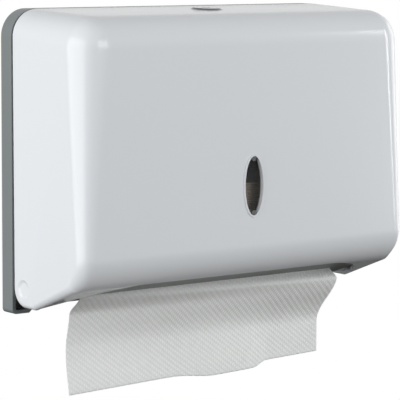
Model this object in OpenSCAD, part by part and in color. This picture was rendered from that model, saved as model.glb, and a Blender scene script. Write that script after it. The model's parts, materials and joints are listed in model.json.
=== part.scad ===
// Wall dispenser for multifold paper towels: a moulded back plate that carries a towel tray,
// and a front cover that is hinged at the bottom and locked at the top.
// X runs to the right seen from the front, the wall is at Y = 0, the front faces -Y and Z is up.
// The origin is the centre of the back plate's wall face. Depths are measured forward from the wall.

/* [Body] */
// Width over the back plate and the cover
body_w = 270; // [255:1:300]
// Height of the back plate
body_h = 198; // [190:1:230]
// Depth of the cover's front from the wall, carried up to the top edge
top_depth = 93; // [90:1:110]
// Radius of the top corners seen from the front
corner_r = 18; // [12:1:20]
// Radius of the cover's front edges at the top
crown_r = 21; // [16:1:24]
// Radius of the cover's front edges at the bottom
front_r = 10; // [8:0.5:14]
// Radius of the cover's lower front
belly_r = 25; // [22:1:26]
// Rounding of the side edges where the belly begins
toe_r = 6; // [5:0.5:8]
// Fall of the cover's top towards the front, in degrees
top_fall = 2.6; // [1:0.1:5]
// Lean of the cover's front, deeper towards the bottom, in degrees
front_lean = 0.3; // [0:0.1:3]
// Rise of the cover's underside towards the front, in degrees
belly_rise = 20.4; // [18:0.1:22]

/* [Back plate] */
// Thickness of the wall face
back_t = 3; // [2:0.1:4]
// Depth of the rim
rim_d = 12; // [11:0.5:14]
// Thickness of the rim
rim_t = 2.5; // [2:0.1:3]
// Radius of the bottom corners
foot_r = 3; // [3:0.5:6]
// Width of the foot at each bottom corner
foot_w = 13; // [10:0.5:16]
// Height of the feet below the bottom edge between them
foot_h = 5.5; // [3:0.1:5.5]
// Height of the screw bosses and stiffening ribs on the wall face
boss_h = 4; // [3:0.1:6]
// Radius of the screw bosses
boss_r = 4; // [3.5:0.1:5]
// Thickness of the stiffening ribs
rib_t = 2; // [1.5:0.1:3]

/* [Wall screws] */
// Distance between the wall screws across
wall_screw_x = 232; // [200:1:240]
// Distance between the wall screws in height
wall_screw_z = 105; // [80:1:120]
// Height of the middle of the wall screws above the centre
wall_screw_mid = 17; // [0:1:20]
// Radius of the wall screw holes
wall_hole_r = 2.6; // [2:0.1:3.5]

/* [Cover] */
// Thickness of the cover
cover_t = 2.6; // [2:0.1:3]
// Rounding of the cover's bottom edges near the hinge
edge_r = 3.4; // [3.2:0.1:5]
// Width of the towel mouth at its front lip, between its slanting sides
mouth_w = 203; // [196:1:212]
// Depth of the mouth's front lip
lip_d = 82; // [76:0.5:82]
// Radius of the mouth's front corners
mouth_r = 40; // [20:1:44]
// Depth from the knee at which the mouth's sides begin to slant inwards
mouth_run = 5; // [4:0.5:7]
// Thickness of the rib along each side's rear edge
side_rib = 1; // [0.8:0.1:1.2]
// Seam between the cover and the rim
seam_gap = 0.3; // [0.2:0.05:0.6]

/* [Hinge] */
// Height of the hinge axis above the bottom of the back plate
hinge_up = 18; // [17.5:0.5:21]
// Radius of the cover's rear corner round the hinge axis
hinge_round = 12.5; // [12:0.1:13.5]
// Level length of the cover's bottom edge in front of the hinge axis
knee_run = 10; // [8:0.1:11]
// Radius of a hinge pin
pin_r = 3; // [2:0.1:4]
// Radius of a pin's head
head_r = 6.3; // [5:0.1:7]
// Depth of the recess for a pin's head in the cover's side
head_t = 1.4; // [1.2:0.1:1.6]
// Depth of a pin's head below the cover's side
head_sink = 0.5; // [0.2:0.1:0.6]
// Thickness of a hinge ear
ear_t = 4; // [3:0.1:5]
// Radius of a hinge ear
ear_r = 8; // [6:0.1:9]
// Height of the cover's hinge bosses
hinge_boss_h = 2; // [1.5:0.1:3]
// Thickness of a pin's clip
clip_t = 1; // [0.8:0.1:1.4]
// Depth of the clip's groove in the pin
groove = 0.6; // [0.4:0.1:0.8]
// Radius of a pin's clip
clip_r = 5.6; // [5:0.1:7]

/* [Tray] */
// Thickness of the tray
tray_t = 2.4; // [2:0.1:3]
// Depth of the middle of the towel slot
slot_d = 42; // [40:0.5:44]
// Width of the towel slot from back to front
slot_w = 14; // [12:0.5:16]
// Height of the towel supports above the hinge axis
support_up = 11; // [9:0.5:16]
// Height of the tray's front edge above the hinge axis
tray_front_up = 19; // [16:0.5:20]
// Distance between the towel supports
support_pitch = 30; // [28:1:32]
// Number of towel supports on each side of the middle one
support_n = 3; // [2:1:3]

/* [Window] */
// Width of the window
window_w = 15; // [10:0.5:16]
// Height of the window
window_h = 39; // [30:0.5:42]
// Height of the window's middle above the centre
window_z = -16; // [-25:0.5:10]
// Width of the rim round the window
window_rim = 1.2; // [0.8:0.1:1.6]
// Height of the rim round the window
window_rim_h = 0.6; // [0.3:0.1:0.9]
// Radius of the lens's nubs at the ends of the window
nub_r = 1.7; // [1:0.1:2]
// Thickness of the lens flange
lens_t = 1.5; // [1:0.1:2]
// Width of the lens flange
lens_rim = 4; // [3:0.1:5]
// Thickness of the lens retainer
retainer_t = 1.6; // [1.2:0.1:2]
// Width of the lens retainer
retainer_w = 28; // [26:0.5:32]
// Height of the retainer screws above and below the lens flange
retainer_screw_off = 5.5; // [5:0.1:7]

/* [Lock] */
// Depth of the lock's axis
lock_d = 42; // [38:0.5:48]
// Radius of the lock's flange
flange_r = 11; // [10:0.1:13]
// Thickness of the lock's flange
flange_t = 1.1; // [1.1:0.1:2]
// Width of the flange's sloping edge
flange_slope = 2; // [0.5:0.1:2.4]
// Radius of the lock's body
barrel_r = 8; // [7.5:0.1:9]
// Length of the lock's body under the flange
barrel_l = 17; // [15:0.5:20]
// Radius of the plug
plug_r = 5.5; // [5:0.1:6]
// Radius of the plug's head
plug_head_r = 7; // [6.5:0.1:7.3]
// Thickness of the plug's head
plug_head_t = 0.8; // [0.6:0.1:0.9]
// Width of the plug's square tail
tail_w = 5; // [4:0.1:6]
// Thickness of the cam
cam_t = 2; // [1.5:0.1:3]
// Reach of the cam's hook
cam_reach = 22; // [20:0.5:24]
// Width of the cam's hook
hook_w = 3.5; // [3:0.1:4]
// Width of the cam's arm
arm_w = 7; // [5:0.1:8]
// Sweep of the hook ahead of the arm, in degrees
hook_angle = 42; // [38:1:48]
// Thickness of the lock nut
nut_t = 3.5; // [2.5:0.1:5]
// Thickness of the lock washer
washer_t = 1; // [0.6:0.1:1.5]
// Radius of the keeper pin
post_r = 1.6; // [1.2:0.1:2]
// Direction of the keeper pin from the lock's axis, in degrees
post_dir = 65; // [62:1:68]
// Thickness of the keeper
keeper_t = 2.4; // [2:0.1:3]
// Width of the keeper's foot
keeper_w = 30; // [28:1:36]
// Height of the keeper's foot
keeper_h = 20; // [18:1:26]

/* [Towels] */
// Width of a towel
towel_w = 212; // [190:1:212]
// Height of the stack of folded towels
stack_h = 54; // [20:1:120]
// Distance of the folded towels from the cover's front
stack_front = 12.7; // [12.7:0.1:25]
// Length of the towel below the tray, at its left edge
drop = 67; // [40:1:90]
// Rise of the towel's lower edge from left to right
skew = 6.5; // [0:0.5:10]
// Thickness of the hanging towel
towel_t = 0.6; // [0.4:0.1:1]
// Distance of the hanging towel in front of the slot's middle
towel_fwd = 5; // [0:0.5:5]
// Swing of the towel's left edge to the back, under the slot
left_back = 16.5; // [0:0.5:20]
// Swing of the towel's left edge to the front again, at its lower end
left_front = 4; // [0:0.5:8]
// Swing of the towel's right edge to the front, just under the slot
right_front = 9.5; // [0:0.5:9.5]
// Swing of the towel's right edge to the back, further down
right_back = 22; // [0:0.5:24]
// Height of the towel's fold in front of the sheet
fold_out = 4; // [0:0.5:12]
// Length of the fold below the towel's lower edge
fold_drop = 3; // [0:0.5:5]

/* [Screws] */
// Radius of a small screw's shank
screw_r = 1.4; // [1.2:0.1:1.6]
// Radius of a small screw's head
screw_head_r = 3; // [2.4:0.1:3.4]
// Thickness of a small screw's head
screw_head_t = 1.6; // [1.2:0.1:2]

/* [Fits] */
// Radial clearance of what turns in a bore, and of pins and screws in their holes
run_fit = 0.05; // [0.02:0.01:0.08]
// Gap between flat faces that pass each other
face_gap = 0.4; // [0.3:0.05:0.6]
// Gap between the tray and the cover's underside
tray_gap = 0.6; // [0.5:0.05:1]
// Gap between a towel and what it rests on
soft_gap = 0.3; // [0.2:0.05:0.5]
// Depth of the flat seats cut into the cover's inside
seat_sink = 0.3; // [0.2:0.05:0.5]

/* [Hidden] */
$fn = 48;
hull_fn = 24;
oval_n = 72;
// Overshoot of cuts past a face
over = 1;
// Depth of the cover's straight rear edge
edge_d = 0.5;

half_w = body_w / 2;
half_h = body_h / 2;
cover_back = rim_d + seam_gap;
hinge_d = cover_back + hinge_round;
hinge_z = hinge_up - half_h;
knee_d = hinge_d + knee_run;
knee_z = hinge_z - hinge_round;
// Depth of the seat on the bosses
seat_d = back_t + boss_h;

// Point in depth and height where two lines meet, each given by its normal and its distance
function meet(n1, c1, n2, c2) =
    let (det = n1[0] * n2[1] - n1[1] * n2[0])
    [(c1 * n2[1] - c2 * n1[1]) / det, (n1[0] * c2 - n2[0] * c1) / det];

// Outward normals and distances of the cover's top, front and underside, in depth and height
top_n = [sin(top_fall), cos(top_fall)];
front_n = [cos(front_lean), sin(front_lean)];
belly_n = [sin(belly_rise), -cos(belly_rise)];
top_c = top_n * [cover_back + edge_d, half_h];
front_c = front_n * [top_depth, half_h];
belly_c = belly_n * [knee_d, knee_z];
// Centres of the rounding at the top front edge and of the lower front
crown = meet(top_n, top_c - crown_r, front_n, front_c - crown_r);
belly = meet(front_n, front_c - belly_r, belly_n, belly_c - belly_r);
// Centre of the rounding of the side edges where the belly begins
toe_c = belly + (belly_r - toe_r) * belly_n;

// Hinge: places along the axis, from the cover's side inwards
cover_in = half_w - cover_t;
ear_out = cover_in - hinge_boss_h - face_gap;
ear_in = ear_out - ear_t;
clip_out = ear_in - soft_gap;
clip_in = clip_out - clip_t;
pin_in = clip_in - groove;
hinge_boss_r = head_r + cover_t / 2;

// Depth at which the mouth's sides begin to slant
mouth_d = knee_d + mouth_run;

// Tray: offsets from the cover's outside
tray_off = cover_t + tray_gap;
tray_half = min(pin_in, half_w - front_r) - 2 * face_gap;
floor_z = knee_z + tray_off;
support_z = hinge_z + support_up;
tray_front_z = hinge_z + tray_front_up;
flange_z = support_z - soft_gap;
slot_half = towel_w / 2 + 4;
tray_screw_z = (floor_z + tray_t + flange_z) / 2;
tray_screw_x = [for (side = [-1, 1], place = [1.5, 3.5]) side * place * support_pitch];

// Level of the cover's flat inner seats, from its outside
seat_z = seat_sink - cover_t;

// Window: centre on the cover's front
window_d = (front_c - front_n[1] * window_z) / front_n[0];
nub_y = window_h / 2 - nub_r - run_fit;
lens_w = window_w + 2 * lens_rim;
lens_h = window_h + 2 * lens_rim;
retainer_screw_y = lens_h / 2 + retainer_screw_off;
retainer_z = seat_z - lens_t - retainer_t;

// Lock: centre on the cover's top, washer, cam and keeper pin below it
lock_z = half_h - (lock_d - cover_back - edge_d) * tan(top_fall);
washer_r = flange_r + over;
cam_z = -barrel_l - face_gap - cam_t;
post_place = cam_reach - hook_w - soft_gap - post_r;
post_x = post_place * cos(post_dir);
post_y = post_place * sin(post_dir);
arm_z = lock_z + cam_z - screw_head_t - 2 * face_gap;
keeper_screw_x = keeper_w / 2 - screw_head_r - over;

// Towel: hangs straight through the slot, then swings back under the object
hang_d = slot_d + towel_fwd;
hang_z = (belly_c - tray_off - belly_n[0] * hang_d) / belly_n[1];
towel_top = support_z;
// Depth at which the tray's rising floor meets the underside of the folded towels
stack_z = support_z + soft_gap;
tray_round = belly_r - tray_off - tray_t;
tray_reach = stack_z > belly[1] + tray_round * belly_n[1]
    ? belly[0] + sqrt(pow(tray_round, 2) - pow(min(0, stack_z - belly[1]), 2))
    : (belly_c - tray_off - tray_t - belly_n[1] * stack_z) / belly_n[0];
stack_d = min(top_depth - stack_front, tray_reach - over);
fold_d = stack_d - seat_d - soft_gap;
towel_cols = 26;
// Rows of the towel's mesh in the tray, and below it
hang_rows = 3;
drop_rows = 15;
towel_rows = hang_rows + drop_rows;

plate_grey = [0.50, 0.52, 0.52];
cover_white = [0.93, 0.93, 0.94];
steel = [0.74, 0.75, 0.77];
paper = [0.90, 0.90, 0.89];

// Draw a side profile, given in depth and height, across the width
module across(width) rotate([90, 0, -90]) linear_extrude(width, center = true) children();

// Draw a front outline from one depth to another
module layer(from, to) translate([0, -from, 0]) rotate([90, 0, 0]) linear_extrude(to - from) children();

// Draw a plan outline, given in X and depth, from one height to another
module storey(from, to) translate([0, 0, from]) linear_extrude(to - from) mirror([0, 1]) children();

// Turn a piece so that its Z axis points to the right, with its base on the middle plane
module rightwards() rotate([0, 90, 0]) children();

// Place a piece on the hinge axis, standing out to one side from the middle plane
module on_hinge(side) translate([0, -hinge_d, hinge_z]) rotate([0, 90 * side, 0]) children();

// Place a piece on the cover's front at the window, with Z outwards and Y upwards
module on_front() translate([0, -window_d, window_z]) rotate([90 - front_lean, 0, 0]) children();

// Place a piece on the cover's top at the lock, with Z outwards
module on_top() translate([0, -lock_d, lock_z]) rotate([top_fall, 0, 0]) children();

// Place pieces at both retainer screws
module at_retainer_screws() for (side = [-1, 1]) translate([0, side * retainer_screw_y, 0]) children();

// Place a screw with its head towards the front
module forward_screw(x, d, z) translate([x, -d, z]) rotate([90, 0, 0]) children();

// Screw whose head stands on the XY plane and whose shank goes down
module screw(length) {
    cylinder(r = screw_head_r, h = screw_head_t);
    translate([0, 0, -length]) cylinder(r = screw_r, h = length + over / 2);
}

// Upright oval of a width and height
module oval(width, height)
    polygon([for (i = [0 : oval_n - 1]) [width / 2 * cos(360 / oval_n * i), height / 2 * sin(360 / oval_n * i)]]);

// Outline of the window, drawn out by a rim
module window_outline(rim) oval(window_w + 2 * rim, window_h + 2 * rim);

// Front outline of the back plate, drawn in by an inset, with a foot at each bottom corner
module plate_outline(inset) difference() {
    w = half_w - inset;
    h = half_h - inset;
    rt = corner_r - inset;
    rb = foot_r - inset;
    arch_w = half_w - foot_w + inset / 2;
    arch_h = foot_h + inset;
    union() {
        translate([-w + rt, -h]) square([2 * (w - rt), 2 * h]);
        translate([-w, -h + rb]) square([2 * w, 2 * h - rt - rb]);
        translate([-w + rb, -h]) square([2 * (w - rb), h]);
        for (side = [-1, 1]) {
            translate([side * (w - rt), h - rt]) circle(rt);
            translate([side * (w - rb), rb - h]) circle(rb);
        }
    }
    polygon([
        [-arch_w - over, -half_h - over], [arch_w + over, -half_h - over],
        [arch_w - arch_h, arch_h - half_h], [arch_h - arch_w, arch_h - half_h]]);
}

// Plan outline of the towel mouth: open at the back, with slanting sides and round front corners
module mouth_outline() {
    side = cover_in - side_rib;
    turn = atan2(lip_d - mouth_d, side - mouth_w / 2);
    cut = mouth_r * tan(turn / 2);
    right = [
        [side, 0], [side, mouth_d],
        [mouth_w / 2 + cut * cos(turn), lip_d - cut * sin(turn)], [mouth_w / 2 - cut, lip_d]];
    polygon(concat(right, [for (i = [len(right) - 1 : -1 : 0]) [-right[i][0], right[i][1]]]));
    for (way = [-1, 1])
        translate([way * (mouth_w / 2 - cut), lip_d - mouth_r]) circle(mouth_r, $fn = 96);
}

// Convex form of the cover, drawn in by an inset and begun at a depth
module cover_form(inset, from) {
    hull() for (side = [-1, 1]) {
        translate([side * (half_w - corner_r), -from, half_h - corner_r])
            rotate([90, 0, 0]) cylinder(r = corner_r - inset, h = cover_back + edge_d - from, $fn = hull_fn);
        translate([side * (half_w - crown_r), -crown[0], crown[1]])
            sphere(crown_r - inset, $fn = hull_fn);
        translate([side * (half_w - front_r), -belly[0], belly[1]])
            rightwards() ring(belly_r - front_r, front_r - inset);
        translate([side * (half_w - toe_r), -toe_c[0], toe_c[1]])
            sphere(toe_r - inset, $fn = hull_fn);
        translate([side * (half_w - edge_r), -knee_d, knee_z + edge_r])
            sphere(edge_r - inset, $fn = hull_fn);
        translate([side * (half_w - edge_r), -hinge_d, hinge_z])
            rightwards() ring(hinge_round - edge_r, edge_r - inset);
    }
}

// Ring with a round section
module ring(r, section) {
    rotate_extrude($fn = 2 * hull_fn) translate([r, 0]) circle(section, $fn = hull_fn);
}

// Back plate: wall face and rim, hinge ears, screw bosses and ribs
module back_plate() color(plate_grey) difference() {
    union() {
        difference() {
            layer(0, rim_d) plate_outline(0);
            layer(back_t, rim_d + over) plate_outline(rim_t);
        }
        for (side = [-1, 1]) translate([side * (ear_in + ear_t / 2), 0, 0]) across(ear_t) hinge_ear();
        for (x = tray_screw_x) plate_boss(x, tray_screw_z);
        for (side = [-1, 1]) plate_boss(post_x + side * keeper_screw_x, arm_z - keeper_h / 2);
        for (side = [-1, 1], place = [1, 2]) plate_rib(side * place * wall_screw_x / 6);
    }
    for (side = [-1, 1]) {
        on_hinge(side) translate([0, 0, ear_in - over]) cylinder(r = pin_r + run_fit, h = ear_t + 2 * over);
        for (end = [-1, 1])
            forward_screw(side * wall_screw_x / 2, -over, wall_screw_mid + end * wall_screw_z / 2)
                cylinder(r = wall_hole_r, h = back_t + 2 * over);
        pilot_hole(post_x + side * keeper_screw_x, arm_z - keeper_h / 2);
    }
    for (x = tray_screw_x) pilot_hole(x, tray_screw_z);
}

// Side profile of a hinge ear, rooted in the wall face
module hinge_ear() {
    translate([hinge_d, hinge_z]) circle(ear_r);
    translate([back_t - over, hinge_z - ear_r]) square([hinge_d - back_t + over, 2 * ear_r]);
}

// Screw boss on the wall face
module plate_boss(x, z) forward_screw(x, back_t - over, z) cylinder(r = boss_r, h = boss_h + over);

// Blind hole for a screw in a boss
module pilot_hole(x, z) forward_screw(x, over, z) cylinder(r = screw_r + run_fit, h = seat_d);

// Upright stiffening rib on the wall face, above the tray
module plate_rib(x) {
    low = support_z + 2 * boss_h;
    high = half_h - corner_r;
    layer(back_t - over, seat_d) translate([x - rib_t / 2, low]) square([rib_t, high - low]);
}

// Side profile of the room above the tray's floor, at an offset from the cover's outside
module tray_room(offset) {
    knee = meet([0, -1], -knee_z - offset, belly_n, belly_c - offset);
    toe = belly + (belly_r - offset) * belly_n;
    polygon([[seat_d, knee_z + offset], knee, toe, belly, [seat_d, belly[1]]]);
    translate(belly) circle(belly_r - offset, $fn = 96);
}

// Side profile of what lies in front of the seat and below a height
module tray_below(z) translate([seat_d, -half_h]) square([top_depth, z + half_h]);

// Towel tray: curved floor with the slot, rear flange, end walls and towel supports
module towel_tray() color(plate_grey) difference() {
    union() {
        across(2 * tray_half) intersection() {
            difference() {
                tray_room(tray_off);
                tray_room(tray_off + tray_t);
            }
            tray_below(tray_front_z);
        }
        across(2 * tray_half) translate([seat_d, floor_z]) square([tray_t, flange_z - floor_z]);
        for (side = [-1, 1]) translate([side * (tray_half - tray_t / 2), 0, 0]) tray_web(tray_t, flange_z);
        for (i = [-support_n : support_n]) translate([i * support_pitch, 0, 0]) tray_web(rib_t, support_z);
    }
    storey(floor_z - over, support_z + over) slot_outline(slot_half, slot_w);
    for (x = tray_screw_x)
        forward_screw(x, seat_d - over, tray_screw_z) cylinder(r = screw_r + run_fit, h = tray_t + 2 * over);
}

// Upright web across the tray, up to a height
module tray_web(thickness, top) across(thickness) intersection() {
    tray_room(tray_off + tray_t / 2);
    tray_below(top);
}

// Plan outline of the towel slot
module slot_outline(half, width) {
    translate([0, slot_d]) square([2 * half - width, width], center = true);
    for (side = [-1, 1]) translate([side * (half - width / 2), slot_d]) circle(width / 2);
}

module tray_screws() color(steel)
    for (x = tray_screw_x) forward_screw(x, seat_d + tray_t, tray_screw_z) screw(tray_t + boss_h);

// Keeper: bracket on the back plate that carries the keeper pin
module lock_keeper() color(steel) difference() {
    union() {
        layer(seat_d, seat_d + keeper_t)
            translate([post_x - keeper_w / 2, arm_z - keeper_h]) square([keeper_w, keeper_h]);
        storey(arm_z - keeper_t, arm_z) translate([post_x - 3 * post_r, seat_d])
            square([6 * post_r, lock_d - post_y + 3 * post_r - seat_d]);
    }
    on_top() translate([post_x, post_y, 2 * cam_z]) cylinder(r = post_r + run_fit, h = -2 * cam_z);
    for (side = [-1, 1])
        forward_screw(post_x + side * keeper_screw_x, seat_d - over, arm_z - keeper_h / 2)
            cylinder(r = screw_r + run_fit, h = keeper_t + 2 * over);
}

// Keeper pin: dowel in the keeper that the cam's hook passes behind
module keeper_pin() color(steel) {
    low = cam_z - screw_head_t - 2 * face_gap - keeper_t - over;
    on_top() translate([post_x, post_y, low]) cylinder(r = post_r, h = cam_z + cam_t + over - low);
}

module keeper_screws() color(steel) for (side = [-1, 1])
    forward_screw(post_x + side * keeper_screw_x, seat_d + keeper_t, arm_z - keeper_h / 2)
        screw(keeper_t + boss_h);

// Folded towels on the tray's supports
module towel_stack() color(paper)
    translate([-towel_w / 2, -stack_d, stack_z])
        cube([towel_w, fold_d, stack_h]);

// Smooth rise from 0 to 1 between two values
function rise(value, from, to) = let (s = min(1, max(0, (value - from) / (to - from)))) s * s * (3 - 2 * s);

// Swing of the towel's left and right edges, and of its fold, at a part of its drop below the tray
function left_edge(part) =
    left_front * rise(part, 0.6, 1.1) - left_back * (0.72 * rise(part, 0, 0.2) + 0.28 * rise(part, 0.15, 0.55));
function right_edge(part) = right_front * rise(part, -0.02, 0.09) - right_back * rise(part, 0.03, 0.58);
function fold(across, part) =
    fold_out * (rise(across, 0.36, 0.56) - rise(across, 0.68, 0.8)) * rise(part, 0.12, 0.96);
function towel_d(across, part) =
    hang_d + left_edge(part) * (1 - across) + right_edge(part) * across + fold(across, part);

// Length of the towel below the tray, from its left edge to its right edge
function towel_drop(across) =
    drop - skew * across + fold_drop * (rise(across, 0.4, 0.56) - rise(across, 0.72, 0.78));

// Corner of the towel's mesh, on its front or its back
function towel_point(i, j, face) =
    let (across = i / towel_cols)
    let (above = (towel_top - hang_z) * max(0, 1 - j / hang_rows))
    let (below = towel_drop(across) * max(0, j - hang_rows) / drop_rows)
    [(across - 0.5) * towel_w, -towel_d(across, below / drop) - face * towel_t / 2, hang_z + above - below];

// Hanging towel: a thin sheet with its main fold
module hanging_towel() color(paper) {
    row = towel_cols + 1;
    side = row * (towel_rows + 1);
    points = [for (face = [1, -1], j = [0 : towel_rows], i = [0 : towel_cols]) towel_point(i, j, face)];
    front = [for (j = [0 : towel_rows - 1], i = [0 : towel_cols - 1]) let (a = j * row + i)
        each [[a, a + 1, a + row], [a + 1, a + row + 1, a + row]]];
    back = [for (f = front) [f[2] + side, f[1] + side, f[0] + side]];
    rim = concat(
        [for (i = [0 : towel_cols - 1]) [i, i + 1]],
        [for (j = [0 : towel_rows - 1]) [j * row + towel_cols, (j + 1) * row + towel_cols]],
        [for (i = [towel_cols : -1 : 1]) [towel_rows * row + i, towel_rows * row + i - 1]],
        [for (j = [towel_rows : -1 : 1]) [j * row, (j - 1) * row]]);
    edge = [for (e = rim) each [[e[1], e[0], e[0] + side], [e[1], e[0] + side, e[1] + side]]];
    polyhedron(points, concat(front, back, edge));
}

// Front cover: shell with the towel mouth, the window, the lock hole and the hinge bosses
module front_cover() color(cover_white) difference() {
    union() {
        difference() {
            cover_form(0, cover_back);
            cover_form(cover_t, cover_back - over);
            across(2 * (cover_in - side_rib))
                translate([0, belly[1] - over]) square([hinge_d, half_h - corner_r - belly[1] + over]);
            storey(-half_h - over, belly[1]) mouth_outline();
        }
        for (side = [-1, 1]) on_hinge(side)
            translate([0, 0, cover_in - hinge_boss_h]) cylinder(r = hinge_boss_r, h = hinge_boss_h + over);
        on_front() translate([0, 0, seat_z / 2])
            linear_extrude(window_rim_h - seat_z / 2) window_outline(window_rim);
        on_front() at_retainer_screws()
            translate([0, 0, seat_z - lens_t]) cylinder(r = boss_r, h = lens_t + over);
    }
    for (side = [-1, 1]) on_hinge(side) {
        translate([0, 0, ear_in]) cylinder(r = pin_r + run_fit, h = half_w);
        translate([0, 0, half_w - head_t]) cylinder(r = head_r + 3 * run_fit, h = head_t + over);
    }
    on_front() {
        translate([0, 0, -cover_t - over]) linear_extrude(cover_t + 2 * over) window_outline(0);
        translate([0, 0, seat_z - over]) linear_extrude(over) oval(lens_w + face_gap, lens_h + face_gap);
        at_retainer_screws()
            translate([0, 0, seat_z - lens_t - over]) cylinder(r = screw_r + run_fit, h = lens_t + cover_t);
    }
    on_top() translate([0, 0, seat_z - over]) {
        cylinder(r = barrel_r + run_fit, h = cover_t + 2 * over);
        cylinder(r = washer_r + face_gap, h = over);
    }
}

// Window lens: flange behind the window and a nub at each end of it
module window_lens() color([0.13, 0.13, 0.14, 0.7]) on_front() {
    translate([0, 0, seat_z - lens_t]) linear_extrude(lens_t) oval(lens_w, lens_h);
    for (side = [-1, 1])
        translate([0, side * nub_y, seat_z - lens_t / 2]) cylinder(r = nub_r, h = lens_t / 2 - seat_z);
}

// Window retainer: frame that clamps the lens flange on the cover's inside
module window_retainer() color(cover_white) on_front() difference() {
    translate([0, 0, retainer_z]) linear_extrude(retainer_t) {
        square([retainer_w, lens_h], center = true);
        square([2 * boss_r, 2 * retainer_screw_y], center = true);
        at_retainer_screws() circle(boss_r);
    }
    translate([0, 0, retainer_z - over]) linear_extrude(retainer_t + 2 * over) window_outline(lens_rim / 2);
    at_retainer_screws()
        translate([0, 0, retainer_z - over]) cylinder(r = screw_r + run_fit, h = retainer_t + 2 * over);
}

module retainer_screws() color(steel) on_front() at_retainer_screws()
    translate([0, 0, retainer_z]) mirror([0, 0, 1]) screw(retainer_t + lens_t + cover_t - 1.5 * over);

// Lock barrel: flange on the cover and body through it, bored for the plug
module lock_barrel() color(steel) on_top() difference() {
    union() {
        cylinder(r1 = flange_r, r2 = flange_r - flange_slope, h = flange_t);
        translate([0, 0, -barrel_l]) cylinder(r = barrel_r, h = barrel_l + flange_t / 2);
    }
    translate([0, 0, -barrel_l - over]) cylinder(r = plug_r + run_fit, h = barrel_l + flange_t + 2 * over);
    translate([0, 0, flange_t - plug_head_t - run_fit])
        cylinder(r = plug_head_r + run_fit, h = flange_t + over);
}

// Ring under the cover's top, round the lock barrel
module barrel_ring(top, thickness, r, sides) on_top() translate([0, 0, top - thickness]) difference() {
    cylinder(r = r, h = thickness, $fn = sides);
    translate([0, 0, -over]) cylinder(r = barrel_r + run_fit, h = thickness + 2 * over);
}

module lock_washer() color(steel) barrel_ring(seat_z, washer_t, washer_r, $fn);

module lock_nut() color(steel) barrel_ring(seat_z - washer_t, nut_t, (flange_r - over / 2) / cos(30), 6);

// Lock plug: head with the key slot, stem in the barrel and square tail for the cam
module lock_plug() color(steel) on_top() difference() {
    union() {
        translate([0, 0, flange_t - plug_head_t]) cylinder(r = plug_head_r, h = plug_head_t);
        translate([0, 0, -barrel_l - face_gap]) cylinder(r = plug_r, h = barrel_l + face_gap + flange_t / 2);
        translate([-tail_w / 2, -tail_w / 2, cam_z]) cube([tail_w, tail_w, cam_t + over]);
    }
    translate([-plug_r * 0.7, -post_r / 2, flange_t - plug_r]) cube([plug_r * 1.4, post_r, plug_r + over]);
    translate([0, 0, cam_z - over]) cylinder(r = screw_r + run_fit, h = barrel_l / 2);
}

// Lock cam: arm to the left with a hook that follows a circle about the lock's axis
module lock_cam() color(steel) on_top() translate([0, 0, cam_z]) linear_extrude(cam_t) difference() {
    union() {
        circle(barrel_r);
        translate([-cam_reach + hook_w / 2, -arm_w / 2]) square([cam_reach - hook_w / 2, arm_w]);
        intersection() {
            difference() {
                circle(cam_reach, $fn = 96);
                circle(cam_reach - hook_w, $fn = 96);
            }
            polygon([
                [0, 0],
                for (turn = [0, hook_angle / 2, hook_angle]) 2 * cam_reach * [-cos(turn), sin(turn)]]);
        }
    }
    square(tail_w + 2 * run_fit, center = true);
}

module cam_screw() color(steel) on_top()
    translate([0, 0, cam_z]) mirror([0, 0, 1]) screw(barrel_l / 2 - 2 * over);

// Hinge pin: head sunk in the cover's side, shaft through the ear and a groove for the clip
module hinge_pin(side) color(cover_white) on_hinge(side) difference() {
    union() {
        translate([0, 0, half_w - head_t]) cylinder(r = head_r, h = head_t - head_sink);
        translate([0, 0, pin_in]) cylinder(r = pin_r, h = half_w - pin_in - head_t / 2);
    }
    translate([0, 0, clip_in]) difference() {
        cylinder(r = pin_r + over, h = clip_t);
        cylinder(r = pin_r - groove, h = clip_t);
    }
}

module left_hinge_pin() hinge_pin(-1);

module right_hinge_pin() hinge_pin(1);

// Hinge clip: snap ring in the pin's groove, open on one side
module hinge_clip(side) color(steel) on_hinge(side) translate([0, 0, clip_in + run_fit])
    linear_extrude(clip_t - 2 * run_fit) difference() {
        circle(clip_r);
        circle(pin_r - groove + run_fit);
        translate([0, groove - pin_r]) square([clip_r + over, 2 * (pin_r - groove)]);
    }

module left_hinge_clip() hinge_clip(-1);

module right_hinge_clip() hinge_clip(1);

back_plate();
towel_tray();
tray_screws();
lock_keeper();
keeper_pin();
keeper_screws();
towel_stack();
hanging_towel();
front_cover();
window_lens();
window_retainer();
retainer_screws();
lock_barrel();
lock_washer();
lock_nut();
lock_plug();
lock_cam();
cam_screw();
left_hinge_pin();
right_hinge_pin();
left_hinge_clip();
right_hinge_clip();
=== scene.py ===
"""Looks of the multifold towel dispenser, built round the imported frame."""

import json
import math
import random

import bmesh
import bpy
from mathutils import Matrix, Vector


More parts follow.
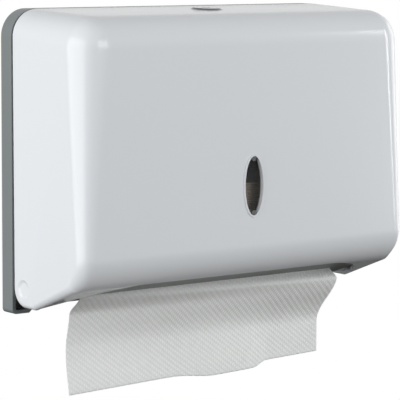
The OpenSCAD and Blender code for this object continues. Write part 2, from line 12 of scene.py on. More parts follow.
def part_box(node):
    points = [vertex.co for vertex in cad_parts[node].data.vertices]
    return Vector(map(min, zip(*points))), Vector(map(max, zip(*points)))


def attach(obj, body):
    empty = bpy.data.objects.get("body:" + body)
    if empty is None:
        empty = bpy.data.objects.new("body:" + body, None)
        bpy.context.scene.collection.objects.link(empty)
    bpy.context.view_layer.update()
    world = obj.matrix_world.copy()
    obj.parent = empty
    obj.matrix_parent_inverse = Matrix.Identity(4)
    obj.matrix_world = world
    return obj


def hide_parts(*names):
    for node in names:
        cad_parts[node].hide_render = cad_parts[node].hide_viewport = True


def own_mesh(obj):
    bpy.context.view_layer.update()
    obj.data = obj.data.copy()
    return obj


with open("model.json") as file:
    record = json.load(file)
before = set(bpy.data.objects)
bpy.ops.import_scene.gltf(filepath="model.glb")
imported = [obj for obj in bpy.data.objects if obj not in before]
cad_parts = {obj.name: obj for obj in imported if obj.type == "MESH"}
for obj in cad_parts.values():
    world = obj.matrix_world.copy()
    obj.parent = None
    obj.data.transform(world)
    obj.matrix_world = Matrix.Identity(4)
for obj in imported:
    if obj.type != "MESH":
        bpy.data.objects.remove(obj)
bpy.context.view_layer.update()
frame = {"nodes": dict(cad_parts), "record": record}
MM = 0.001

# Cover sizes in millimetres, as in the part's source; depths run forward from the wall
HALF_W, HALF_H = 135.0, 99.0
COVER_BACK, COVER_T = 12.3, 2.6
REAR_ROUND, EDGE_D = 2.0, 0.5
CORNER_R, CROWN_R, FRONT_R, BELLY_R, TOE_R, EDGE_R = 18.0, 21.0, 10.0, 25.0, 6.0, 3.4
TOP_DEPTH, TOP_FALL, FRONT_LEAN, BELLY_RISE = 93.0, 2.6, 0.3, 20.4
HINGE_D, HINGE_Z, HINGE_ROUND = 24.8, -81.0, 12.5
KNEE_D, KNEE_Z = 34.8, -93.5
SIDE_RIB = 1.0
MOUTH_W, MOUTH_D, LIP_D, MOUTH_R = 203.0, 39.8, 82.0, 40.0
WINDOW_W, WINDOW_H, WINDOW_Z = 15.0, 39.0, -16.0
WINDOW_RIM, WINDOW_RIM_H, RIM_TAPER = 1.2, 0.6, 0.4
NUB_Y, NUB_R, NUB_BLUR = 17.75, 1.6, 0.15
SEAT_SINK, LENS_W, LENS_H, LENS_T = 0.3, 23.0, 47.0, 1.5
RETAINER_SCREW_Y, BOSS_R, SCREW_HOLE_R = 29.0, 4.0, 1.45
LOCK_D, BARREL_R, WASHER_R = 42.0, 8.0, 12.0
PIN_R, HEAD_R, HEAD_T = 3.0, 6.3, 1.4
HINGE_BOSS_R, HINGE_BOSS_IN, HINGE_BORE_L = 7.6, 130.4, 20.0
SEAT_FIT, BORE_FIT, HEAD_FIT = 0.4, 0.05, 0.03
# How far a cutting tool runs past what it cuts
OVER = 1.0
# Towel sizes in millimetres
TOWEL_W, HANG_D, HANG_Z, TOWEL_TOP = 212.0, 47.0, -85.55, -70.0
TOWEL_DROP, TOWEL_SKEW, FOLD_DROP, TOWEL_T = 67.0, 6.5, 3.0, 0.4
LEFT_BACK, LEFT_FRONT, RIGHT_FRONT, RIGHT_BACK, FOLD_OUT = 16.5, 4.0, 9.5, 22.0, 4.0
# Folded towels: how many, their slip in millimetres, and the shares of the pitch that leaf and fold take
LEAVES, LEAF_SLIP, LEAF_SHARE, FOLD_SHARE = 34, 1.2, 0.94, 0.44
# Floor, light and camera, in metres and degrees
FLOOR_PLACE = (0, -0.1, -0.9)
AIM = (0, -0.05, 0)
CAMERA_PLACE = (-0.910655, -1.213606, 0.144099)
CAMERA_YAW, CAMERA_PITCH, CAMERA_ROLL = 37.714, -6.705, 0.269
CAMERA_LENS, SENSOR = 199.87, 36.0


def at(x, d, z):
    """A point in metres from X, depth and height in millimetres."""
    return Vector((x, -d, z)) * MM


def meet(angle_a, point_a, in_a, angle_b, point_b, in_b):
    """Depth and height where two lines meet that have these normals, each drawn in from a point on it."""
    na = Vector((math.cos(angle_a), math.sin(angle_a)))
    nb = Vector((math.cos(angle_b), math.sin(angle_b)))
    ca, cb = na.dot(Vector(point_a)) - in_a, nb.dot(Vector(point_b)) - in_b
    det = na.x * nb.y - na.y * nb.x
    return (ca * nb.y - cb * na.y) / det, (na.x * cb - nb.x * ca) / det


TOP_N = math.radians(90 - TOP_FALL)
FRONT_N = math.radians(FRONT_LEAN)
BELLY_N = math.radians(BELLY_RISE - 90)
TOP_POINT = (COVER_BACK + EDGE_D, HALF_H)
FRONT_POINT = (TOP_DEPTH, HALF_H)
BELLY_POINT = (KNEE_D, KNEE_Z)
CROWN = meet(TOP_N, TOP_POINT, CROWN_R, FRONT_N, FRONT_POINT, CROWN_R)
BELLY = meet(FRONT_N, FRONT_POINT, BELLY_R, BELLY_N, BELLY_POINT, BELLY_R)
TOE = (BELLY[0] + (BELLY_R - TOE_R) * math.cos(BELLY_N), BELLY[1] + (BELLY_R - TOE_R) * math.sin(BELLY_N))
WINDOW_D = TOP_DEPTH + (HALF_H - WINDOW_Z) * math.tan(FRONT_N)
LOCK_Z = HALF_H - (LOCK_D - TOP_POINT[0]) * math.tan(math.radians(TOP_FALL))

# Materials


def node(tree, kind, **values):
    """New node with these input values or settings."""
    made = tree.nodes.new(kind)
    for key, value in values.items():
        if key in made.inputs:
            made.inputs[key].default_value = value
        else:
            setattr(made, key, value)
    return made


def blank_material(name):
    """Material with a plain shader, ready for its patterns."""
    material = bpy.data.materials.new(name)
    material.use_nodes = True
    tree = material.node_tree
    tree.nodes.clear()
    shader = tree.nodes.new("ShaderNodeBsdfPrincipled")
    out = tree.nodes.new("ShaderNodeOutputMaterial")
    tree.links.new(shader.outputs["BSDF"], out.inputs["Surface"])
    return material, tree, shader


def mottle(tree, coordinate, scale, low, high, detail=3.0):
    """Colour that wanders between two close tones."""
    noise = node(tree, "ShaderNodeTexNoise", Scale=scale, Detail=detail, Roughness=0.55)
    ramp = tree.nodes.new("ShaderNodeValToRGB")
    ramp.color_ramp.elements[0].position, ramp.color_ramp.elements[1].position = 0.25, 0.75
    ramp.color_ramp.elements[0].color = (*low, 1)
    ramp.color_ramp.elements[1].color = (*high, 1)
    tree.links.new(coordinate, noise.inputs["Vector"])
    tree.links.new(noise.outputs["Fac"], ramp.inputs["Fac"])
    return ramp.outputs["Color"]


def spread(tree, coordinate, scale, low, high):
    """Number that wanders between two values."""
    noise = node(tree, "ShaderNodeTexNoise", Scale=scale, Detail=4.0)
    span = tree.nodes.new("ShaderNodeMapRange")
    span.inputs["From Min"].default_value, span.inputs["From Max"].default_value = 0.3, 0.7
    span.inputs["To Min"].default_value, span.inputs["To Max"].default_value = low, high
    tree.links.new(coordinate, noise.inputs["Vector"])
    tree.links.new(noise.outputs["Fac"], span.inputs["Value"])
    return span.outputs["Result"]


def grain(tree, coordinate, scale, strength, depth, before=None):
    """Fine bump of a surface, over an earlier one if given."""
    noise = node(tree, "ShaderNodeTexNoise", Scale=scale, Detail=2.0)
    bump = node(tree, "ShaderNodeBump", Strength=strength, Distance=depth)
    tree.links.new(coordinate, noise.inputs["Vector"])
    tree.links.new(noise.outputs["Fac"], bump.inputs["Height"])
    if before is not None:
        tree.links.new(before, bump.inputs["Normal"])
    return bump.outputs["Normal"]


def moulded(name, low, high, gloss, grain_depth):
    """Moulded plastic: fine spark-eroded grain, faint mottling and uneven gloss."""
    material, tree, shader = blank_material(name)
    shader.inputs["Specular IOR Level"].default_value = 0.3
    place = tree.nodes.new("ShaderNodeTexCoord").outputs["Object"]
    tree.links.new(mottle(tree, place, 12.0, low, high, 1.0), shader.inputs["Base Color"])
    tree.links.new(spread(tree, place, 700.0, gloss[0], gloss[1]), shader.inputs["Roughness"])
    tree.links.new(grain(tree, place, 1600.0, 0.35, grain_depth), shader.inputs["Normal"])
    return material


def plated(name, low, high, gloss, streak):
    """Plated or brushed metal with fine streaks."""
    material, tree, shader = blank_material(name)
    shader.inputs["Metallic"].default_value = 1.0
    place = tree.nodes.new("ShaderNodeTexCoord").outputs["Object"]
    stretch = tree.nodes.new("ShaderNodeMapping")
    stretch.inputs["Scale"].default_value = streak
    tree.links.new(place, stretch.inputs["Vector"])
    lines = stretch.outputs["Vector"]
    tree.links.new(mottle(tree, place, 180.0, low, high), shader.inputs["Base Color"])
    tree.links.new(spread(tree, lines, 300.0, gloss[0], gloss[1]), shader.inputs["Roughness"])
    tree.links.new(grain(tree, lines, 900.0, 0.25, 0.00004), shader.inputs["Normal"])
    return material


def embossed_paper():
    """Paper with rows of small embossed pips that run slantwise, and soft fibres."""
    material, tree, shader = blank_material("embossed_paper")
    shader.inputs["Specular IOR Level"].default_value = 0.2
    sheet = tree.nodes.new("ShaderNodeUVMap")
    sheet.uv_map = "sheet"
    heights = []
    for turn, pitch in ((math.radians(38), 0.0021), (math.radians(-52), 0.0030)):
        lay = tree.nodes.new("ShaderNodeMapping")
        lay.inputs["Rotation"].default_value = (0, 0, turn)
        rows = node(tree, "ShaderNodeTexWave", Scale=0.314159 / pitch, Distortion=0.25, Detail=1.0)
        rows.inputs["Detail Scale"].default_value = 1.5
        tree.links.new(sheet.outputs["UV"], lay.inputs["Vector"])
        tree.links.new(lay.outputs["Vector"], rows.inputs["Vector"])
        heights.append(rows.outputs["Fac"])
    pips = node(tree, "ShaderNodeMath", operation="MULTIPLY")
    tree.links.new(heights[0], pips.inputs[0])
    tree.links.new(heights[1], pips.inputs[1])
    emboss = node(tree, "ShaderNodeBump", Strength=0.55, Distance=0.0005)
    tree.links.new(pips.outputs[0], emboss.inputs["Height"])
    fibres = grain(tree, sheet.outputs["UV"], 2600.0, 0.25, 0.00012, emboss.outputs["Normal"])
    tree.links.new(fibres, shader.inputs["Normal"])
    tone = mottle(tree, sheet.outputs["UV"], 260.0, (0.84, 0.86, 0.85), (0.90, 0.915, 0.91), 6.0)
    # Painted shade: the pip pattern multiplies the base colour, so it is darker in the low parts between
    # the pips
    painted_pip_shade = node(tree, "ShaderNodeMix", data_type="RGBA", blend_type="MULTIPLY")
    painted_pip_shade.inputs["Factor"].default_value = 0.10
    tree.links.new(tone, painted_pip_shade.inputs["A"])
    tree.links.new(pips.outputs[0], painted_pip_shade.inputs["B"])
    tree.links.new(painted_pip_shade.outputs["Result"], shader.inputs["Base Color"])
    tree.links.new(spread(tree, sheet.outputs["UV"], 800.0, 0.82, 0.95), shader.inputs["Roughness"])
    return material


def folded_paper():
    """Edges of folded paper: soft fibres, with each leaf a little different."""
    material, tree, shader = blank_material("folded_paper")
    shader.inputs["Specular IOR Level"].default_value = 0.2
    place = tree.nodes.new("ShaderNodeTexCoord").outputs["Object"]
    flat = tree.nodes.new("ShaderNodeMapping")
    flat.inputs["Scale"].default_value = (0.06, 0.06, 1.0)
    tree.links.new(place, flat.inputs["Vector"])
    tone = mottle(tree, flat.outputs["Vector"], 900.0, (0.70, 0.58, 0.44), (0.80, 0.68, 0.54), 5.0)
    tree.links.new(tone, shader.inputs["Base Color"])
    tree.links.new(spread(tree, place, 500.0, 0.82, 0.95), shader.inputs["Roughness"])
    ply = grain(tree, flat.outputs["Vector"], 2400.0, 0.6, 0.0003)
    tree.links.new(grain(tree, place, 1800.0, 0.3, 0.0001, ply), shader.inputs["Normal"])
    return material


def smoked_lens():
    """Clear smoked plastic with faint surface scuffs, and frosted nubs at the ends of the window."""
    material, tree, shader = blank_material("smoked_lens")
    shader.inputs["Specular IOR Level"].default_value = 0.25
    place = tree.nodes.new("ShaderNodeTexCoord").outputs["Object"]
    split = tree.nodes.new("ShaderNodeSeparateXYZ")
    tree.links.new(place, split.inputs["Vector"])

    def sum_up(how, first, second):
        made = node(tree, "ShaderNodeMath", operation=how)
        for socket, value in zip(made.inputs, (first, second)):
            if isinstance(value, float):
                socket.default_value = value
            else:
                tree.links.new(value, socket)
        return made.outputs[0]

    height = sum_up("ABSOLUTE", sum_up("SUBTRACT", split.outputs["Z"], WINDOW_Z * MM), 0.0)
    along = sum_up("POWER", sum_up("SUBTRACT", height, NUB_Y * MM), 2.0)
    away = sum_up("SQRT", sum_up("ADD", along, sum_up("POWER", split.outputs["X"], 2.0)), 0.0)
    frost = node(tree, "ShaderNodeMapRange")
    for key, value in (("From Min", (NUB_R + NUB_BLUR) * MM), ("From Max", NUB_R * MM)):
        frost.inputs[key].default_value = value
    tree.links.new(away, frost.inputs["Value"])
    clear = mottle(tree, place, 120.0, (0.10, 0.105, 0.105), (0.13, 0.135, 0.135))
    tone = tree.nodes.new("ShaderNodeMixRGB")
    tone.inputs["Color2"].default_value = (0.13, 0.13, 0.134, 1)
    tree.links.new(frost.outputs["Result"], tone.inputs["Fac"])
    tree.links.new(clear, tone.inputs["Color1"])
    tree.links.new(tone.outputs["Color"], shader.inputs["Base Color"])
    solid = node(tree, "ShaderNodeMapRange")
    for key, value in (("To Min", 0.15), ("To Max", 0.95)):
        solid.inputs[key].default_value = value
    tree.links.new(frost.outputs["Result"], solid.inputs["Value"])
    tree.links.new(solid.outputs["Result"], shader.inputs["Alpha"])
    tree.links.new(spread(tree, place, 700.0, 0.10, 0.2), shader.inputs["Roughness"])
    tree.links.new(grain(tree, place, 400.0, 0.1, 0.00003), shader.inputs["Normal"])
    material.surface_render_method = "BLENDED"
    return material


FINISH = {
    "white_plastic": moulded(
        "white_plastic", (0.701, 0.726, 0.751), (0.705, 0.730, 0.755), (0.17, 0.20), 0.00002),
    "grey_plastic": moulded(
        "grey_plastic", (0.155, 0.172, 0.176), (0.172, 0.189, 0.193), (0.34, 0.42), 0.00006),
    "tray_plastic": moulded(
        "tray_plastic", (0.235, 0.25, 0.24), (0.255, 0.275, 0.265), (0.48, 0.6), 0.00006),
    "screw_steel": plated("screw_steel", (0.55, 0.56, 0.57), (0.68, 0.69, 0.71), (0.28, 0.42), (1, 1, 12)),
    # Painted shade and reflection: the lock metal gets a dark base colour so that the near edge of its
    # flange reads dark. This stands in for the shade and the dark reflection there.
    "lock_metal": plated("lock_metal", (0.10, 0.105, 0.11), (0.14, 0.145, 0.15), (0.10, 0.16), (1, 8, 1)),
    "paper": embossed_paper(),
    "paper_stack": folded_paper(),
    "smoked_lens": smoked_lens(),
}
for part in frame["record"]["subparts"]:
    materials = frame["nodes"][part["node"]].data.materials
    materials.clear()
    materials.append(FINISH[part["material_slot"]])

# Making pieces


def new_object(name, bm):
    mesh = bpy.data.meshes.new(name)
    bm.to_mesh(mesh)
    bm.free()
    made = bpy.data.objects.new(name, mesh)
    bpy.context.scene.collection.objects.link(made)
    return made


def finish_piece(made, slot, body, replaced, sharp):
    """Gives a piece its finish and its body and hides the nodes it stands for; edges over the angle stay
    sharp.
    """
    made.data.materials.clear()
    made.data.materials.append(FINISH[slot])
    made.data.shade_smooth()
    made.data.set_sharp_from_angle(angle=math.radians(sharp))
    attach(made, body)
    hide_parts(*replaced)


def apply_modifiers(made):
    """Puts what the modifiers make into the mesh itself."""
    graph = bpy.context.evaluated_depsgraph_get()
    mesh = bpy.data.meshes.new_from_object(made.evaluated_get(graph), depsgraph=graph)
    made.modifiers.clear()
    made.data = mesh


def carve(target, tool, how="DIFFERENCE"):
    """Cuts a tool out of a piece, or joins it on, and removes the tool."""
    cut = target.modifiers.new("cut", "BOOLEAN")
    cut.operation, cut.solver, cut.object = how, "EXACT", tool
    apply_modifiers(target)
    bpy.data.objects.remove(tool)


def post(bm, place, along, r, length, segments=96):
    """Cylinder centred on a place, along an axis."""
    turn = Vector((0, 0, 1)).rotation_difference(Vector(along)).to_matrix().to_4x4()
    return bmesh.ops.create_cone(
        bm, cap_ends=True, segments=segments, radius1=r * MM, radius2=r * MM, depth=length * MM,
        matrix=Matrix.Translation(place) @ turn)["verts"]


def ring(bm, place, along, r, section):
    """Ring with a round section about an axis along X or Y."""
    axis = Vector(along)
    turn = Matrix.Rotation(math.radians(90), 4, "X" if axis.x else "Y")
    top = place + Vector((0, 0, r * MM))
    made = bmesh.ops.create_circle(
        bm, segments=36, radius=section * MM, matrix=Matrix.Translation(top) @ turn)["verts"]
    edges = list({e for v in made for e in v.link_edges})
    bmesh.ops.spin(
        bm, geom=made + edges, cent=place, axis=axis, angle=math.tau, steps=80, use_merge=True,
        use_duplicate=False)


def ball(bm, place, r):
    bmesh.ops.create_uvsphere(
        bm, u_segments=72, v_segments=36, radius=r * MM, matrix=Matrix.Translation(place))


def wrap(bm):
    """Tight skin round all the points."""
    bmesh.ops.delete(bm, geom=bm.edges[:], context="EDGES_FACES")
    bmesh.ops.remove_doubles(bm, verts=bm.verts[:], dist=1e-6)
    skin = bmesh.ops.convex_hull(bm, input=bm.verts[:])
    inside = {v for v in skin["geom_interior"] + skin["geom_unused"] if isinstance(v, bmesh.types.BMVert)}
    bmesh.ops.delete(bm, geom=list(inside), context="VERTS")
    bmesh.ops.dissolve_limit(bm, angle_limit=math.radians(0.05), verts=bm.verts[:], edges=bm.edges[:])
    bmesh.ops.recalc_face_normals(bm, faces=bm.faces[:])


def cover_form(name, inset, back):
    """Form of the cover, drawn in by an inset and begun at a depth."""
    bm = bmesh.new()
    for side in (-1, 1):
        corner = at(side * (HALF_W - CORNER_R), back + REAR_ROUND, HALF_H - CORNER_R)
        if inset:
            post(bm, corner, (0, 1, 0), CORNER_R - inset, 2 * REAR_ROUND)
        else:
            ring(bm, corner, (0, 1, 0), CORNER_R - REAR_ROUND, REAR_ROUND)
        ball(bm, at(side * (HALF_W - CROWN_R), *CROWN), CROWN_R - inset)
        ring(bm, at(side * (HALF_W - FRONT_R), *BELLY), (1, 0, 0), BELLY_R - FRONT_R, FRONT_R - inset)
        ball(bm, at(side * (HALF_W - TOE_R), *TOE), TOE_R - inset)
        edge_x = side * (HALF_W - EDGE_R)
        ball(bm, at(edge_x, KNEE_D, KNEE_Z + EDGE_R), EDGE_R - inset)
        ring(bm, at(edge_x, HINGE_D, HINGE_Z), (1, 0, 0), HINGE_ROUND - EDGE_R, EDGE_R - inset)
    wrap(bm)
    return new_object(name, bm)


# Front cover


def front_frame(level):
    """Places pieces on the cover's front at the window: X across, Y up, Z out."""
    return Matrix.Translation(at(0, WINDOW_D, WINDOW_Z)) @ Matrix.Rotation(
        math.radians(90 - FRONT_LEAN), 4, "X") @ Matrix.Translation((0, 0, level * MM))


def top_frame(level):
    """Places pieces on the cover's top at the lock: Z out."""
    return Matrix.Translation(at(0, LOCK_D, LOCK_Z)) @ Matrix.Rotation(
        math.radians(TOP_FALL), 4, "X") @ Matrix.Translation((0, 0, level * MM))


def tool_oval(width, height, low, high, taper=0.0):
    """Upright oval between two levels on the cover's front; its outer end is drawn in by the taper."""
    bm = bmesh.new()
    bmesh.ops.create_circle(bm, cap_ends=True, segments=96, radius=0.5 * MM)
    bmesh.ops.scale(bm, verts=bm.verts[:], vec=(width, height, 1))
    up = bmesh.ops.extrude_face_region(bm, geom=bm.faces[:])["geom"]
    top = [v for v in up if isinstance(v, bmesh.types.BMVert)]
    bmesh.ops.translate(bm, verts=top, vec=(0, 0, (high - low) * MM))
    bmesh.ops.scale(bm, verts=top, vec=(1 - 2 * taper / width, 1 - 2 * taper / height, 1))
    bmesh.ops.recalc_face_normals(bm, faces=bm.faces[:])
    bmesh.ops.transform(bm, matrix=front_frame(low), verts=bm.verts[:])
    return new_object("tool", bm)


def tool_post(place, along, r, length):
    """Round tool along an axis."""
    bm = bmesh.new()
    post(bm, place, along, r, length)
    return new_object("tool", bm)


def tool_front(y, r, low, high):
    """Round tool between two levels on the cover's front, above or below the window's middle."""
    bm = bmesh.new()
    made = post(bm, Vector((0, y * MM, (high - low) / 2 * MM)), (0, 0, 1), r, high - low, 64)
    bmesh.ops.transform(bm, matrix=front_frame(low), verts=made)
    return new_object("tool", bm)


def tool_top(r, low, high):
    """Round tool between two levels on the cover's top, at the lock."""
    bm = bmesh.new()
    made = post(bm, Vector((0, 0, (high - low) / 2 * MM)), (0, 0, 1), r, high - low)
    bmesh.ops.transform(bm, matrix=top_frame(low), verts=made)
    return new_object("tool", bm)


def block(bm, corner_a, corner_b):
    """Box between two opposite corners."""
    size = [abs(length) for length in corner_b - corner_a]
    middle = Matrix.Translation((corner_a + corner_b) / 2)
    return bmesh.ops.create_cube(bm, size=1.0, matrix=middle @ Matrix.Diagonal((*size, 1)))["verts"]


def tool_block(corner_a, corner_b):
    bm = bmesh.new()
    block(bm, corner_a, corner_b)
    return new_object("tool", bm)


def mouth_tool(half):
    """Prism of the mouth's plan: open at the back, slanting sides, round front corners."""
    bm = bmesh.new()
    back, low, lip = -20, -HALF_H - 5, MOUTH_W / 2
    plan = [(-half, back), (-half, MOUTH_D), (-lip, LIP_D), (lip, LIP_D), (half, MOUTH_D), (half, back)]
    base = bm.faces.new([bm.verts.new(at(x, d, low)) for x, d in plan])
    made = bmesh.ops.extrude_face_region(bm, geom=[base])["geom"]
    raised = [v for v in made if isinstance(v, bmesh.types.BMVert)]
    bmesh.ops.translate(bm, verts=raised, vec=(0, 0, (BELLY[1] - low) * MM))
    upright = [e for e in bm.edges if abs(e.verts[0].co.z - e.verts[1].co.z) > OVER * MM]
    front = [e for e in upright if -e.verts[0].co.y > (LIP_D - OVER) * MM]
    turn = math.atan2(LIP_D - MOUTH_D, half - lip)
    bmesh.ops.bevel(
        bm, geom=front, offset=MOUTH_R * math.tan(turn / 2) * MM, offset_type="OFFSET", segments=32,
        profile=0.5, affect="EDGES", material=-1)
    bmesh.ops.recalc_face_normals(bm, faces=bm.faces[:])
    return new_object("tool", bm)


def make_cover():
    """Shell with its mouth, window, lock hole and hinge bosses."""
    cover = cover_form("cover_shell", 0.0, COVER_BACK)
    carve(cover, cover_form("tool", COVER_T, COVER_BACK - OVER))
    half = HALF_W - COVER_T - SIDE_RIB
    carve(cover, tool_block(at(-half, 0, BELLY[1] - OVER), at(half, HINGE_D, HALF_H - CORNER_R)))
    carve(cover, mouth_tool(half))
    seat = SEAT_SINK - COVER_T
    rim = 2 * (WINDOW_RIM + RIM_TAPER)
    carve(cover, tool_oval(WINDOW_W + rim, WINDOW_H + rim, seat / 2, WINDOW_RIM_H, RIM_TAPER), "UNION")
    carve(cover, tool_oval(WINDOW_W, WINDOW_H, -COVER_T - OVER, OVER))
    boss_top = seat - LENS_T
    for side in (-1, 1):
        carve(cover, tool_front(side * RETAINER_SCREW_Y, BOSS_R, boss_top, seat + OVER), "UNION")
        carve(cover, tool_front(side * RETAINER_SCREW_Y, SCREW_HOLE_R, boss_top - OVER, seat + OVER))
    carve(cover, tool_oval(LENS_W + SEAT_FIT, LENS_H + SEAT_FIT, seat - OVER, seat))
    carve(cover, tool_top(BARREL_R + BORE_FIT, seat - OVER, 2 * OVER))
    carve(cover, tool_top(WASHER_R + SEAT_FIT, seat - OVER, seat))
    boss_out = HALF_W - COVER_T / 2
    for side in (-1, 1):
        boss = at(side * (HINGE_BOSS_IN + boss_out) / 2, HINGE_D, HINGE_Z)
        head = at(side * HALF_W, HINGE_D, HINGE_Z)
        carve(cover, tool_post(boss, (1, 0, 0), HINGE_BOSS_R, boss_out - HINGE_BOSS_IN), "UNION")
        carve(cover, tool_post(head, (1, 0, 0), PIN_R + BORE_FIT, HINGE_BORE_L))
        carve(cover, tool_post(head, (1, 0, 0), HEAD_R + HEAD_FIT, 2 * HEAD_T))
    finish_piece(cover, "white_plastic", "cover", ["front_cover"], 28.0)


make_cover()

# Hanging towel


def rise(value, low, high):
    """Smooth step from 0 to 1 between two values."""
    s = min(1.0, max(0.0, (value - low) / (high - low)))
    return s * s * (3 - 2 * s)


def towel_depth(across, part):
    """Depth of the hanging towel, from its left edge to its right edge, at a part of its drop."""
    swing = 0.72 * rise(part, 0, 0.2) + 0.28 * rise(part, 0.15, 0.55)
    left = LEFT_FRONT * rise(part, 0.6, 1.1) - LEFT_BACK * swing
    right = RIGHT_FRONT * rise(part, -0.02, 0.09) - RIGHT_BACK * rise(part, 0.03, 0.58)
    fold = FOLD_OUT * (rise(across, 0.36, 0.56) - rise(across, 0.68, 0.8)) * rise(part, 0.12, 0.96)
    return HANG_D + left * (1 - across) + right * across + fold


def make_towel():
    """Leaf that hangs through the slot, with its flat lay in the UV map."""
    bm = bmesh.new()
    bmesh.ops.create_grid(bm, x_segments=212, y_segments=84, size=0.5)
    uv = bm.loops.layers.uv.new("sheet")
    in_tray = TOWEL_TOP - HANG_Z
    for vert in bm.verts:
        across, down = vert.co.x + 0.5, 0.5 - vert.co.y
        length = in_tray + TOWEL_DROP - TOWEL_SKEW * across
        length += FOLD_DROP * (rise(across, 0.4, 0.56) - rise(across, 0.72, 0.78))
        for loop in vert.link_loops:
            loop[uv].uv = ((across - 0.5) * TOWEL_W * MM, -down * length * MM)
        part = max(0.0, down * length - in_tray) / TOWEL_DROP
        vert.co = at((across - 0.5) * TOWEL_W, towel_depth(across, part), TOWEL_TOP - down * length)
    bmesh.ops.recalc_face_normals(bm, faces=bm.faces[:])
    made = new_object("towel_leaf", bm)
    thick = made.modifiers.new("paper", "SOLIDIFY")
    thick.thickness, thick.offset = TOWEL_T * MM, 0.0
    finish_piece(made, "paper", "towel", ["hanging_towel"], 60.0)
    return made


towel = make_towel()

# Folded towels


def make_stack():
    """Folded towels one on another, each slipped a little, with round folds."""
    low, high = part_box("towel_stack")
    random.seed(7)
    bm = bmesh.new()
    step = (high.z - low.z) / LEAVES
    for i in range(LEAVES):
        slip = [random.uniform(0, LEAF_SLIP * MM) for _ in range(4)]
        corner_a = Vector((low.x + slip[0], low.y + slip[1], low.z + i * step))
        corner_b = Vector((high.x - slip[2], high.y - slip[3], low.z + (i + LEAF_SHARE) * step))
        verts = block(bm, corner_a, corner_b)
        edges = {e for v in verts for e in v.link_edges}
        folds = [e for e in edges if abs(e.verts[0].co.x - e.verts[1].co.x) > 0.1]
        bmesh.ops.bevel(
            bm, geom=folds, offset=step * FOLD_SHARE, offset_type="OFFSET", segments=4, profile=0.5,
            affect="EDGES", material=-1)
    finish_piece(new_object("folded_towels", bm), "paper_stack", "base", ["towel_stack"], 40.0)


make_stack()

# Hinge pins


def make_pin(side):
    """Headed pin: softly dished head, shaft and clip groove, turned about the hinge axis."""
    bm = bmesh.new()
    # Radius and place along the axis, counted outwards from the cover's side
    profile = [(0.0, -0.85), (4.0, -0.85), (4.5, -0.80), (5.2, -0.52), (5.8, -0.22), (6.1, -0.10),
               (HEAD_R, -0.05), (HEAD_R, -HEAD_T), (PIN_R, -HEAD_T)]
    shaft = [(PIN_R, -10.3), (2.4, -10.3), (2.4, -11.3), (PIN_R, -11.3), (PIN_R, -11.7), (2.8, -11.9),
             (0.0, -11.9)]
    points = [bm.verts.new(Vector((out, 0, r)) * MM) for r, out in profile + shaft]
    edges = [bm.edges.new(pair) for pair in zip(points, points[1:])]
    bmesh.ops.spin(
        bm, geom=points + edges, cent=(0, 0, 0), axis=(1, 0, 0), angle=math.tau, steps=72, use_merge=True,
        use_duplicate=False)
    bmesh.ops.remove_doubles(bm, verts=bm.verts[:], dist=1e-6)
    bmesh.ops.scale(bm, verts=bm.verts[:], vec=(side, 1, 1))
    bmesh.ops.translate(bm, verts=bm.verts[:], vec=at(side * HALF_W, HINGE_D, HINGE_Z))
    bmesh.ops.recalc_face_normals(bm, faces=bm.faces[:])
    word = "left" if side < 0 else "right"
    finish_piece(new_object(word + "_pin", bm), "white_plastic", "cover", [word + "_hinge_pin"], 35.0)


make_pin(-1)
make_pin(1)

# Stage, light and camera


def make_stage():
    """Pale floor well below the object."""
    bm = bmesh.new()
    place = Matrix.Translation(FLOOR_PLACE)
    bmesh.ops.create_grid(bm, x_segments=2, y_segments=2, size=0.5, matrix=place)
    floor = new_object("floor", bm)
    material, tree, shader = blank_material("pale_floor")
    spot = tree.nodes.new("ShaderNodeTexCoord").outputs["Object"]
    tone = mottle(tree, spot, 6.0, (0.36, 0.345, 0.32), (0.40, 0.385, 0.36))
    tree.links.new(tone, shader.inputs["Base Color"])
    shader.inputs["Roughness"].default_value = 0.8
    floor.data.materials.append(material)


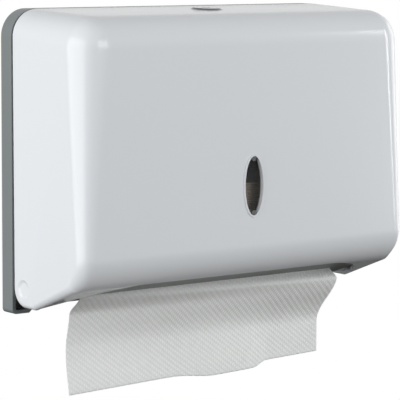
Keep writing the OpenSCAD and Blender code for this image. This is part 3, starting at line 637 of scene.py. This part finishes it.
def make_world():
    """Soft light from above; white to the camera, and to reflections and glass except far below."""
    world = bpy.data.worlds.new("studio")
    bpy.context.scene.world = world
    world.use_nodes = True
    tree = world.node_tree
    tree.nodes.clear()
    out = tree.nodes.new("ShaderNodeOutputWorld")
    place = tree.nodes.new("ShaderNodeTexCoord")
    split = tree.nodes.new("ShaderNodeSeparateXYZ")
    tree.links.new(place.outputs["Generated"], split.inputs["Vector"])

    def by_height(low_z, high_z, low, high):
        span = tree.nodes.new("ShaderNodeMapRange")
        span.interpolation_type = "SMOOTHSTEP"
        for key, value in (("From Min", low_z), ("From Max", high_z), ("To Min", low), ("To Max", high)):
            span.inputs[key].default_value = value
        tree.links.new(split.outputs["Z"], span.inputs["Value"])
        return span.outputs["Result"]

    def join(how, first, second):
        made = node(tree, "ShaderNodeMath", operation=how)
        tree.links.new(first, made.inputs[0])
        tree.links.new(second, made.inputs[1])
        return made.outputs[0]

    soft = tree.nodes.new("ShaderNodeBackground")
    white = node(tree, "ShaderNodeBackground", Color=(1, 1, 1, 1), Strength=1.0)
    path = tree.nodes.new("ShaderNodeLightPath")
    mix = tree.nodes.new("ShaderNodeMixShader")
    tree.links.new(by_height(-0.6, 0.5, 0.01, 0.09), soft.inputs["Strength"])
    through = join("MAXIMUM", path.outputs["Is Glossy Ray"], path.outputs["Is Transmission Ray"])
    level = join("MULTIPLY", through, by_height(-0.4, -0.15, 0, 1))
    seen = join("MAXIMUM", path.outputs["Is Camera Ray"], level)
    tree.links.new(seen, mix.inputs["Fac"])
    tree.links.new(soft.outputs["Background"], mix.inputs[1])
    tree.links.new(white.outputs["Background"], mix.inputs[2])
    tree.links.new(mix.outputs["Shader"], out.inputs["Surface"])


def lamp(name, place, size, power):
    """Soft box aimed at the object."""
    light = bpy.data.lights.new(name, "AREA")
    light.shape, light.size, light.size_y = "RECTANGLE", size[0], size[1]
    light.energy = power
    made = bpy.data.objects.new(name, light)
    made.location = place
    made.rotation_euler = (Vector(AIM) - Vector(place)).to_track_quat("-Z", "Y").to_euler()
    bpy.context.scene.collection.objects.link(made)


def make_camera():
    """Camera at the photograph's angle."""
    yaw, pitch, roll = (math.radians(a) for a in (CAMERA_YAW, CAMERA_PITCH, CAMERA_ROLL))
    ahead = Vector((math.sin(yaw) * math.cos(pitch), math.cos(yaw) * math.cos(pitch), math.sin(pitch)))
    right = Vector((math.cos(yaw), -math.sin(yaw), 0))
    up = right.cross(ahead)
    tilt = Matrix.Rotation(-roll, 3, ahead)
    right, up = tilt @ right, tilt @ up
    data = bpy.data.cameras.new("camera")
    data.sensor_width, data.lens = SENSOR, CAMERA_LENS
    data.clip_start, data.clip_end = 0.05, 50.0
    made = bpy.data.objects.new("camera", data)
    turn = Matrix((right, up, -ahead)).transposed().to_4x4()
    made.matrix_world = Matrix.Translation(CAMERA_PLACE) @ turn
    bpy.context.scene.collection.objects.link(made)
    bpy.context.scene.camera = made


make_stage()
make_world()
lamp("left_softbox", (-2.0, 0.08, 0.32), (2.6, 1.8), 55.0)
lamp("right_softbox", (2.12, -1.53, 0.42), (0.3, 1.7), 26.0)
lamp("right_fill", (2.4, 0.0, 0.32), (1.2, 1.5), 12.0)
lamp("front_fill", (0.2, -2.7, 0.90), (1.8, 1.2), 37.0)
make_camera()
bpy.context.scene.view_settings.view_transform = "Standard"

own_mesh(towel)
